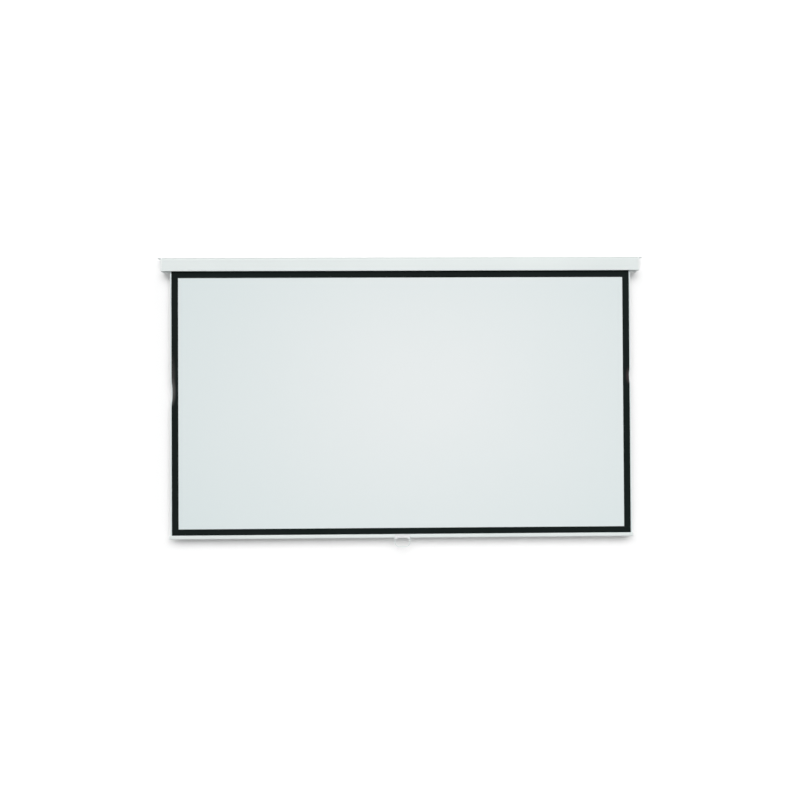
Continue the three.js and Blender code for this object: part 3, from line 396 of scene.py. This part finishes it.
# Roller
# A rolled steel tube, galvanised, on nylon plugs. The right plug carries a steel pin that turns in
# the bush in the right cap, and the left plug runs on the fixed shaft.
turned("roller_tube", "roller", "zinc_steel", zinc)
turned("idle_pin", "roller", "zinc_steel", drawn_steel)
turned("spring_end_plug", "roller", "grey_nylon", grey_nylon)
turned("idle_end_plug", "roller", "grey_nylon", grey_nylon)
turned("idle_bush", "case", "grey_nylon", grey_nylon)

# Rolled-up fabric
# The two turns that always stay on the tube: the black leader above the picture, wound in a spiral
# so that its outer turn lies where the hanging sheet leaves it.
ROLL_TURNS = 2
ROLL_STEPS_PER_TURN = 96
ROLL_SPANS = 24
ROLL_FABRIC = 0.0004
BLACK = (0.0100, 0.0145, 0.0138)
BLACK_DULL = (0.0160, 0.0205, 0.0200)
LEADER_CLOUD_PER_M = 30
LEADER_ROUGHNESS = 0.55
LEADER_ROUGH_BETWEEN = (0.48, 0.68)
LEADER_SPECULAR = 0.35
WEAVE_PER_M = 1100
WEAVE_DEPTH = 0.00005

black_leader = new_material("black_leader", LEADER_ROUGHNESS, specular=LEADER_SPECULAR)
leader_weave = noise_of(black_leader, WEAVE_PER_M, detail=1.0)
tint_by(black_leader, noise_of(black_leader, LEADER_CLOUD_PER_M), BLACK, BLACK_DULL)
rough_by(black_leader, leader_weave, LEADER_ROUGH_BETWEEN)
raise_by(black_leader, leader_weave, WEAVE_DEPTH)

roll_low, roll_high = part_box("fabric_wraps")
roll_span = (roll_high.x - roll_low.x) / ROLL_SPANS
tube_low, tube_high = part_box("roller_tube")
roll_axis = (roll_low + roll_high) / 2
roll_outer = (roll_high.z - roll_low.z) / 2 - ROLL_FABRIC
roll_inner = (tube_high.z - tube_low.z) / 2 + ROLL_FABRIC / 2
roll_shape = bmesh.new()
roll_steps = ROLL_TURNS * ROLL_STEPS_PER_TURN
roll_edge = []
for step in range(roll_steps + 1):
    share = step / roll_steps
    radius = roll_inner + (roll_outer - roll_inner) * share
    angle = math.pi - math.tau * ROLL_TURNS * (1 - share)
    around = Vector((0, math.cos(angle), math.sin(angle))) * radius
    roll_edge.append(roll_shape.verts.new((roll_low.x, roll_axis.y + around.y, roll_axis.z + around.z)))
for here, there in zip(roll_edge, roll_edge[1:]):
    roll_shape.edges.new((here, there))
roll_front = roll_shape.edges[:]
for _ in range(ROLL_SPANS):
    grown = bmesh.ops.extrude_edge_only(roll_shape, edges=roll_front)["geom"]
    grown_verts = [v for v in grown if isinstance(v, bmesh.types.BMVert)]
    bmesh.ops.translate(roll_shape, verts=grown_verts, vec=(roll_span, 0, 0))
    roll_front = [
        e for e in grown
        if isinstance(e, bmesh.types.BMEdge) and set(e.verts) <= set(grown_verts)]
bmesh.ops.recalc_face_normals(roll_shape, faces=roll_shape.faces)
bmesh.ops.solidify(roll_shape, geom=roll_shape.faces[:], thickness=-ROLL_FABRIC)
fabric_roll = as_piece("fabric_roll", roll_shape, black_leader)
stands_for(fabric_roll, "roller", "black_fabric", "fabric_wraps")

# Screen fabric
# One sheet of glass-fibre cloth, coated matt white in front and black behind, hanging from the
# roller into the bar. It is nearly flat, with faint upright waves and one curled spot at each edge.
SHEET_COLUMNS = 150
SHEET_ROWS = 260
# Each wave's height, length and phase.
WAVES = ((0.0011, 0.83, 0.9), (0.0006, 0.37, 2.3), (0.0003, 0.19, 4.0))
WAVE_ONSET = 0.7
CURL_WIDTH = 0.045
CURL_ROLL = 2
CURL_ENDING = 4
# The height, reach, depth and inward pull of the curl at the left edge, -1, and at the right one, 1.
CURLS = {-1: (-0.636, 0.048, 0.010, 0.0034), 1: (-0.560, 0.030, 0.006, 0.0020)}
SCREEN_WHITE = (0.800, 0.838, 0.840)
SCREEN_SHADE = (0.700, 0.778, 0.782)
# Painted light: the white is paler in a broad spot near the middle and deeper and cooler towards the
# edges, a pool of lamplight painted into its colour.
SCREEN_PAINTED_LIGHT_MIDDLE = (0.14, -0.055, -0.60)
SCREEN_PAINTED_LIGHT_REACH = (1.75, 1.0, 1.35)
SCREEN_PAINTED_LIGHT_BETWEEN = (0.10, 0.95)
SCREEN_CLOUD_PER_M = 1.9
SCREEN_CLOUD_SHARE = 0.12
SCREEN_GRAIN_PER_M = 850
SCREEN_GRAIN_DEPTH = 0.00003
SCREEN_ROUGHNESS = 0.85
SCREEN_ROUGH_BETWEEN = (0.78, 0.92)
SCREEN_SPECULAR = 0.25
BACK_CLOUD_PER_M = 3.0
BACK_ROUGHNESS = 0.7
BACK_ROUGH_BETWEEN = (0.6, 0.8)
BACK_SPECULAR = 0.3
BACK_FACES_FROM = 0.5


def spot_of(material, middle, reach):
    """1 in the middle of a soft spot, and 0 where it ends, that far off along each axis."""
    tree = material.node_tree
    place = tree.nodes.new("ShaderNodeTexCoord")
    mapping = tree.nodes.new("ShaderNodeMapping")
    mapping.vector_type = "TEXTURE"
    mapping.inputs["Location"].default_value = middle
    mapping.inputs["Scale"].default_value = reach
    spot = tree.nodes.new("ShaderNodeTexGradient")
    spot.gradient_type = "SPHERICAL"
    tree.links.new(place.outputs["Object"], mapping.inputs["Vector"])
    tree.links.new(mapping.outputs["Vector"], spot.inputs["Vector"])
    return spot.outputs["Fac"]


screen_white = new_material("screen_white", SCREEN_ROUGHNESS, specular=SCREEN_SPECULAR)
screen_grain = noise_of(screen_white, SCREEN_GRAIN_PER_M, detail=1.0)
screen_links = screen_white.node_tree.links
# The painted pool of light, with a faint cloud of random tone mixed in, sets the white's colour.
cloud_and_painted_light = screen_white.node_tree.nodes.new("ShaderNodeMath")
cloud_and_painted_light.operation = "MULTIPLY_ADD"
cloud_and_painted_light.inputs[1].default_value = SCREEN_CLOUD_SHARE
screen_links.new(noise_of(screen_white, SCREEN_CLOUD_PER_M, detail=3.0), cloud_and_painted_light.inputs[0])
screen_links.new(spot_of(screen_white, SCREEN_PAINTED_LIGHT_MIDDLE, SCREEN_PAINTED_LIGHT_REACH), cloud_and_painted_light.inputs[2])
tint_by(screen_white, cloud_and_painted_light.outputs["Value"], SCREEN_SHADE, SCREEN_WHITE, SCREEN_PAINTED_LIGHT_BETWEEN)
rough_by(screen_white, screen_grain, SCREEN_ROUGH_BETWEEN)
raise_by(screen_white, screen_grain, SCREEN_GRAIN_DEPTH)

screen_back = new_material("black_fabric_back", BACK_ROUGHNESS, specular=BACK_SPECULAR)
back_weave = noise_of(screen_back, WEAVE_PER_M, detail=1.0)
tint_by(screen_back, noise_of(screen_back, BACK_CLOUD_PER_M), BLACK_DULL, BLACK)
rough_by(screen_back, back_weave, BACK_ROUGH_BETWEEN)
raise_by(screen_back, back_weave, WEAVE_DEPTH)

sheet_low, sheet_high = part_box("fabric_sheet")
bar_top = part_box("bottom_bar")[1].z
slot_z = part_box("case_shell")[0].z
hanging_height = slot_z - bar_top


def hung(x, z):
    """Where a point of the flat sheet goes as it hangs: moved in x and in depth."""
    drop = min(max((slot_z - z) / hanging_height, 0.0), 1.0)
    free = math.sin(math.pi * drop) ** WAVE_ONSET if 0.0 < drop < 1.0 else 0.0
    depth = sum(height * math.sin(math.tau * x / length + phase) for height, length, phase in WAVES) * free
    side = 1 if x > 0 else -1
    middle, reach, back, inward = CURLS[side]
    from_edge = (sheet_high.x - abs(x)) / CURL_WIDTH
    if from_edge < 1.0:
        curl = (1.0 - from_edge) ** CURL_ROLL * math.exp(-(((z - middle) / reach) ** CURL_ENDING))
        depth += back * curl
        x -= side * inward * curl
    return x, depth


def cloth(name, low_x, high_x, low_z, high_z, front_y, thickness, columns, rows, *materials):
    """A closed strip of the hanging sheet, its front at front_y where the sheet is flat.

    The columns of a strip of full width crowd towards its ends, where the sheet curls.
    """
    shape = bmesh.new()
    bmesh.ops.create_grid(shape, x_segments=columns, y_segments=rows, size=1.0)
    for vert in shape.verts:
        across = math.sin(vert.co.x * math.pi / 2) if columns == SHEET_COLUMNS else vert.co.x
        flat_x = (low_x + high_x) / 2 + across * (high_x - low_x) / 2
        z = (low_z + high_z) / 2 + vert.co.y * (high_z - low_z) / 2
        x, depth = hung(flat_x, z)
        vert.co = (x, front_y + depth, z)
    bmesh.ops.recalc_face_normals(shape, faces=shape.faces)
    if sum(face.normal.y for face in shape.faces) > 0:
        bmesh.ops.reverse_faces(shape, faces=shape.faces)
    bmesh.ops.solidify(shape, geom=shape.faces[:], thickness=thickness)
    return as_piece(name, shape, *materials)


screen_fabric = cloth(
    "screen_fabric", sheet_low.x, sheet_high.x, sheet_low.z, sheet_high.z, sheet_low.y,
    sheet_high.y - sheet_low.y, SHEET_COLUMNS, SHEET_ROWS, screen_white, screen_back)
for face in screen_fabric.data.polygons:
    face.material_index = 1 if face.normal.y > BACK_FACES_FROM else 0
stands_for(screen_fabric, "case", "screen_fabric", "fabric_sheet")


def gathers_up(piece):
    """Gives the piece its own copy of its mesh; the cloth is not made to shorten as the bar goes up."""
    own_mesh(piece)


gathers_up(screen_fabric)

# Black border
# A matt black coat printed round the picture on the sheet's front, so it waves and curls with the
# sheet. At the top it runs on into the case as the leader. Where the edges curl, painted grey highlights
# stand in for the light they catch.
BORDER_COLUMNS = 12
BORDER_ROWS = 12
PRINTED_BLACK = (0.0030, 0.0066, 0.0060)
PRINTED_BLACK_DULL = (0.0052, 0.0090, 0.0084)
PRINTED_CLOUD_PER_M = 5.0
PRINTED_ROUGHNESS = 0.75
PRINTED_ROUGH_BETWEEN = (0.68, 0.84)
PRINTED_SPECULAR = 0.09
# Each painted highlight's side, colour, height and reach.
CURL_PAINTED_HIGHLIGHTS = (
    ("left", (0.052, 0.052, 0.051), -0.560, (0.024, 0.050, 0.130)),
    ("left", (0.135, 0.135, 0.132), -0.628, (0.024, 0.050, 0.080)),
    ("right", (0.062, 0.045, 0.047), -0.559, (0.022, 0.050, 0.050)),
)

border_black = new_material("printed_black", PRINTED_ROUGHNESS, specular=PRINTED_SPECULAR)
border_grain = noise_of(border_black, WEAVE_PER_M, detail=1.0)
tint_by(border_black, noise_of(border_black, PRINTED_CLOUD_PER_M), PRINTED_BLACK, PRINTED_BLACK_DULL)
rough_by(border_black, border_grain, PRINTED_ROUGH_BETWEEN)
raise_by(border_black, border_grain, WEAVE_DEPTH)
# Painted highlights: grey spots on the black where the curled edges catch the light.
for side, highlight_colour, highlight_z, highlight_reach in CURL_PAINTED_HIGHLIGHTS:
    low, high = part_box("border_" + side)
    outer_x = low.x if side == "left" else high.x
    cover_by(border_black, spot_of(border_black, (outer_x, low.y, highlight_z), highlight_reach), highlight_colour)

for side, columns, rows in (
    ("top", SHEET_COLUMNS, BORDER_ROWS),
    ("bottom", SHEET_COLUMNS, BORDER_ROWS),
    ("left", BORDER_COLUMNS, SHEET_ROWS),
    ("right", BORDER_COLUMNS, SHEET_ROWS),
):
    low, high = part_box("border_" + side)
    strip = cloth(
        "printed_border_" + side, low.x, high.x, low.z, high.z, low.y, high.y - low.y,
        columns, rows, border_black)
    stands_for(strip, "case", "black_fabric", "border_" + side)
    gathers_up(strip)

# Bottom bar
# A hollow aluminium extrusion with the case's coat. The sheet's hem goes through the slot in its
# top and is held in the channel by a nylon rod, and moulded caps close its ends.
BAR_EDGE = 0.0002
BAR_EDGE_FROM = 0.0008

bar_extrusion = rounded_copy("bar_extrusion", "bottom_bar", BAR_EDGE, BAR_EDGE_FROM, white_coat)
stands_for(bar_extrusion, "bar", "white_paint", "bottom_bar")
for side in ("left", "right"):
    bar_cap = rounded_copy(
        side + "_bar_end", side + "_bar_cap", BAR_EDGE, BAR_EDGE_FROM, white_moulding)
    stands_for(bar_cap, "bar", "white_plastic", side + "_bar_cap")
turned("hem_spline", "bar", "grey_nylon", grey_nylon)

# Handle bracket
# Pressed steel with two rolled lugs, coated white but a little greyer than the bar, and held to the
# bar's front by two domed rivets.
BRACKET_EDGE = 0.0003
BRACKET_EDGE_FROM = 0.0012
BRACKET_WHITE = (0.735, 0.745, 0.752)
BRACKET_SHADE = (0.700, 0.712, 0.720)
BRACKET_CLOUD_PER_M = 25
BRACKET_ROUGHNESS = 0.40
BRACKET_ROUGH_BETWEEN = (0.34, 0.48)

bracket_coat = new_material("bracket_coat", BRACKET_ROUGHNESS)
bracket_peel = noise_of(bracket_coat, COAT_PEEL_PER_M)
tint_by(bracket_coat, noise_of(bracket_coat, BRACKET_CLOUD_PER_M), BRACKET_SHADE, BRACKET_WHITE)
rough_by(bracket_coat, bracket_peel, BRACKET_ROUGH_BETWEEN)
raise_by(bracket_coat, bracket_peel, COAT_PEEL_DEPTH)

bracket = rounded_copy(
    "bracket_pressing", "handle_bracket", BRACKET_EDGE, BRACKET_EDGE_FROM, bracket_coat)
stands_for(bracket, "bar", "white_paint", "handle_bracket")
for side in ("left", "right"):
    plated(side + "_bracket_rivet", "bar")

# Pull handle
# One length of 4.6 mm steel wire, bent into a wide loop and coated white. Its ends turn in the
# bracket's lugs, so the loop hangs and swings freely.
BAIL_WIRE = 0.0046
BAIL_TAPER = 0.005
BAIL_SHOULDER_RADIUS = 0.005
BAIL_CORNER_RADIUS = 0.020
BAIL_STUB_FROM = 0.026
BAIL_SIDES = 24
BAIL_BEND_STEPS = 14
Y_AXIS = (0, 1, 0)

handle_swing = next(joint for joint in frame["joints"] if joint["name"] == "handle_swing")
pivot = Vector(handle_swing["pos_m"])
bail_low, bail_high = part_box("pull_handle")
shoulder = Vector((bail_high.x - BAIL_WIRE / 2, pivot.y, pivot.z))
corner = Vector((shoulder.x - BAIL_TAPER, pivot.y, bail_low.z + BAIL_WIRE / 2))
bail_side = corner - shoulder
lean = math.atan2(BAIL_TAPER, shoulder.z - corner.z)
shoulder_turn = math.pi / 2 + lean
corner_turn = math.pi / 2 - lean
shoulder_reach = BAIL_SHOULDER_RADIUS * math.tan(shoulder_turn / 2)
corner_reach = BAIL_CORNER_RADIUS * math.tan(corner_turn / 2)

bail_shape = bmesh.new()
wire_start = Matrix.Translation((BAIL_STUB_FROM, pivot.y, pivot.z)) @ Matrix.Rotation(math.pi / 2, 4, "Y")
bmesh.ops.create_circle(
    bail_shape, segments=BAIL_SIDES, radius=BAIL_WIRE / 2, cap_ends=True, matrix=wire_start)
wire_end = bail_shape.edges[:]


def run_straight(ring, along):
    """The wire goes straight on from its ring of edges, and the new ring comes back."""
    grown = bmesh.ops.extrude_edge_only(bail_shape, edges=ring)["geom"]
    verts = [v for v in grown if isinstance(v, bmesh.types.BMVert)]
    bmesh.ops.translate(bail_shape, verts=verts, vec=along)
    return [e for e in grown if isinstance(e, bmesh.types.BMEdge) and set(e.verts) <= set(verts)]


def run_round(ring, centre, turn):
    """The wire bends round a centre in the bail's own plane."""
    bent = bmesh.ops.spin(
        bail_shape, geom=ring, cent=centre, axis=Y_AXIS, angle=turn, steps=BAIL_BEND_STEPS)
    return [e for e in bent["geom_last"] if isinstance(e, bmesh.types.BMEdge)]


wire_end = run_straight(wire_end, (shoulder.x - shoulder_reach - BAIL_STUB_FROM, 0, 0))
wire_end = run_round(
    wire_end, shoulder - Vector((shoulder_reach, 0, BAIL_SHOULDER_RADIUS)), shoulder_turn)
wire_end = run_straight(
    wire_end, bail_side.normalized() * (bail_side.length - shoulder_reach - corner_reach))
wire_end = run_round(wire_end, corner + Vector((-corner_reach, 0, BAIL_CORNER_RADIUS)), corner_turn)
run_straight(wire_end, (corner_reach - corner.x, 0, 0))
bmesh.ops.mirror(
    bail_shape, geom=bail_shape.verts[:] + bail_shape.edges[:] + bail_shape.faces[:], axis="X",
    merge_dist=SECTION_WELD)
bmesh.ops.remove_doubles(bail_shape, verts=bail_shape.verts, dist=SECTION_WELD)
bmesh.ops.recalc_face_normals(bail_shape, faces=bail_shape.faces)
bail = as_piece("bail", bail_shape, white_coat)
stands_for(bail, "handle", "white_paint", "pull_handle")

# Wall and floor
# Plain white. Each shows only from its front, so the wall never hides the screen's back. Both show in
# reflections, but light nothing else and cast no shadow. A glow for the eye alone, weaker near the
# screen, keeps them as white as the background.
ROOM_WHITE = (0.97, 0.97, 0.97, 1.0)
ROOM_GLOW_NEAR = 0.08
ROOM_GLOW_FAR = 0.22
ROOM_NEAR_REACH = (2.2, 6.0, 1.7)
ROOM_FAR_FROM = 0.30
ROOM_REACH = 14.0
FLOOR_Z = -2.75
WALL_FORWARD = 0.002


def seen_by_eye(tree):
    """1 for what the camera sees straight, mirrored or through something clear, and 0 for light."""
    path = tree.nodes.new("ShaderNodeLightPath")
    either = path.outputs["Is Camera Ray"]
    for ray in ("Is Glossy Ray", "Is Transmission Ray"):
        both = tree.nodes.new("ShaderNodeMath")
        both.operation = "MAXIMUM"
        tree.links.new(either, both.inputs[0])
        tree.links.new(path.outputs[ray], both.inputs[1])
        either = both.outputs["Value"]
    return either


room_white = bpy.data.materials.new("room_white")
room_white.use_nodes = True
room_nodes = room_white.node_tree.nodes
room_links = room_white.node_tree.links
room_nodes.remove(room_nodes["Principled BSDF"])
room_paint = room_nodes.new("ShaderNodeBsdfDiffuse")
room_paint.inputs["Color"].default_value = ROOM_WHITE
room_seen = seen_by_eye(room_white.node_tree)
room_glow = room_nodes.new("ShaderNodeEmission")
room_strength = room_nodes.new("ShaderNodeMath")
room_strength.operation = "MULTIPLY"
room_near = spot_of(room_white, (cad_box[0] + cad_box[1]) / 2, ROOM_NEAR_REACH)
room_fade = room_nodes.new("ShaderNodeMapRange")
room_fade.inputs["From Max"].default_value = ROOM_FAR_FROM
room_fade.inputs["To Min"].default_value = ROOM_GLOW_FAR
room_fade.inputs["To Max"].default_value = ROOM_GLOW_NEAR
room_links.new(room_near, room_fade.inputs["Value"])
room_links.new(room_fade.outputs["Result"], room_strength.inputs[1])
room_sum = room_nodes.new("ShaderNodeAddShader")
room_clear = room_nodes.new("ShaderNodeBsdfTransparent")
room_side = room_nodes.new("ShaderNodeNewGeometry")
room_mix = room_nodes.new("ShaderNodeMixShader")
room_links.new(room_seen, room_strength.inputs[0])
room_links.new(room_strength.outputs["Value"], room_glow.inputs["Strength"])
room_links.new(room_paint.outputs["BSDF"], room_sum.inputs[0])
room_links.new(room_glow.outputs["Emission"], room_sum.inputs[1])
room_links.new(room_side.outputs["Backfacing"], room_mix.inputs["Fac"])
room_links.new(room_sum.outputs["Shader"], room_mix.inputs[1])
room_links.new(room_clear.outputs["BSDF"], room_mix.inputs[2])
room_links.new(room_mix.outputs["Shader"], room_nodes["Material Output"].inputs["Surface"])


def room_face(name, turn, place):
    shape = bmesh.new()
    bmesh.ops.create_grid(
        shape, x_segments=1, y_segments=1, size=ROOM_REACH,
        matrix=Matrix.Translation(place) @ Matrix.Rotation(turn, 4, "X"))
    face = as_piece(name, shape, room_white)
    return face


floor = room_face("floor", 0.0, (0, 0, FLOOR_Z))
wall = room_face("wall", math.pi / 2, (0, cad_box[1][1] - WALL_FORWARD, FLOOR_Z + ROOM_REACH))
for face in (floor, wall):
    face.visible_diffuse = False
    face.visible_shadow = False

# Lights
# Three wide soft lights side by side, high in front, throw the short shadows under the case and the
# bar. A smaller one straight ahead brightens the middle, one below stands for the pale floor's own
# light, three behind serve the views of the back and the ends, and white surroundings fill the rest.
KEY_LIGHT = 0.83
KEY_HEIGHT = math.radians(30)
KEY_SIDE = math.radians(22)
KEY_SOFTNESS = math.radians(36)
REAR_LIGHT = 1.0
END_LIGHT = 1.0
END_SIDE = math.radians(112)
END_HEIGHT = math.radians(8)
FLOOR_LIGHT = 0.6
FROM_BELOW = math.radians(-90)
FRONT_LIGHT = 8.0
FRONT_LIGHT_PLACE = (0.30, -3.2, -0.70)
FRONT_LIGHT_WIDE = 1.2
SKY_WHITE = (1.0, 1.0, 1.0, 1.0)
SKY = 0.25
SKY_SEEN = 1.0


def far_light(name, strength, turn, height):
    """Even light from far off, from that turn round the object, 0 being straight in front."""
    lamp = bpy.data.lights.new(name, "SUN")
    lamp.energy = strength
    lamp.angle = KEY_SOFTNESS
    light = bpy.data.objects.new(name, lamp)
    bpy.context.scene.collection.objects.link(light)
    light.rotation_euler = (math.pi / 2 - height, 0.0, turn)


for name, turn in (("left_key", -KEY_SIDE), ("middle_key", 0.0), ("right_key", KEY_SIDE)):
    far_light(name, KEY_LIGHT, turn, KEY_HEIGHT)
far_light("floor_light", FLOOR_LIGHT, 0.0, FROM_BELOW)
far_light("rear_light", REAR_LIGHT, math.pi, KEY_HEIGHT)
far_light("left_end_light", END_LIGHT, -END_SIDE, END_HEIGHT)
far_light("right_end_light", END_LIGHT, END_SIDE, END_HEIGHT)

front_lamp = bpy.data.lights.new("front_light", "AREA")
front_lamp.size = FRONT_LIGHT_WIDE
front_lamp.energy = FRONT_LIGHT
front_light = bpy.data.objects.new("front_light", front_lamp)
bpy.context.scene.collection.objects.link(front_light)
front_light.location = FRONT_LIGHT_PLACE
front_light.rotation_euler = (math.pi / 2, 0.0, 0.0)
front_light.visible_camera = False

world = bpy.data.worlds.new("white_surroundings")
bpy.context.scene.world = world
world.use_nodes = True
sky_nodes = world.node_tree.nodes
sky_links = world.node_tree.links
sky = sky_nodes["Background"]
sky_seen = sky_nodes.new("ShaderNodeBackground")
sky_choice = sky_nodes.new("ShaderNodeMixShader")
sky.inputs["Color"].default_value = SKY_WHITE
sky.inputs["Strength"].default_value = SKY
sky_seen.inputs["Color"].default_value = SKY_WHITE
sky_seen.inputs["Strength"].default_value = SKY_SEEN
sky_links.new(seen_by_eye(world.node_tree), sky_choice.inputs["Fac"])
sky_links.new(sky.outputs["Background"], sky_choice.inputs[1])
sky_links.new(sky_seen.outputs["Background"], sky_choice.inputs[2])
sky_links.new(sky_choice.outputs["Shader"], sky_nodes["World Output"].inputs["Surface"])

# Camera
# Four and a half metres out, a little left of the middle and nearly level with the picture's middle,
# turned, tilted and rolled by under a degree each.
CAMERA_PLACE = (-0.0850, -4.5000, -0.7248)
CAMERA_TURN_RIGHT = math.radians(0.988)
CAMERA_TILT_UP = math.radians(0.635)
CAMERA_ROLL = math.radians(-0.308)
CAMERA_LENS_MM = 40.239
CAMERA_SENSOR_MM = 36.0
CAMERA_SEES_TO = 60.0

lens = bpy.data.cameras.new("camera")
lens.lens = CAMERA_LENS_MM
lens.sensor_width = CAMERA_SENSOR_MM
lens.clip_end = CAMERA_SEES_TO
camera = bpy.data.objects.new("camera", lens)
bpy.context.scene.collection.objects.link(camera)
camera.matrix_world = (
    Matrix.Translation(CAMERA_PLACE)
    @ Matrix.Rotation(-CAMERA_TURN_RIGHT, 4, "Z")
    @ Matrix.Rotation(math.pi / 2 + CAMERA_TILT_UP, 4, "X")
    @ Matrix.Rotation(CAMERA_ROLL, 4, "Z"))
bpy.context.scene.camera = camera
bpy.context.scene.view_settings.view_transform = "Standard"
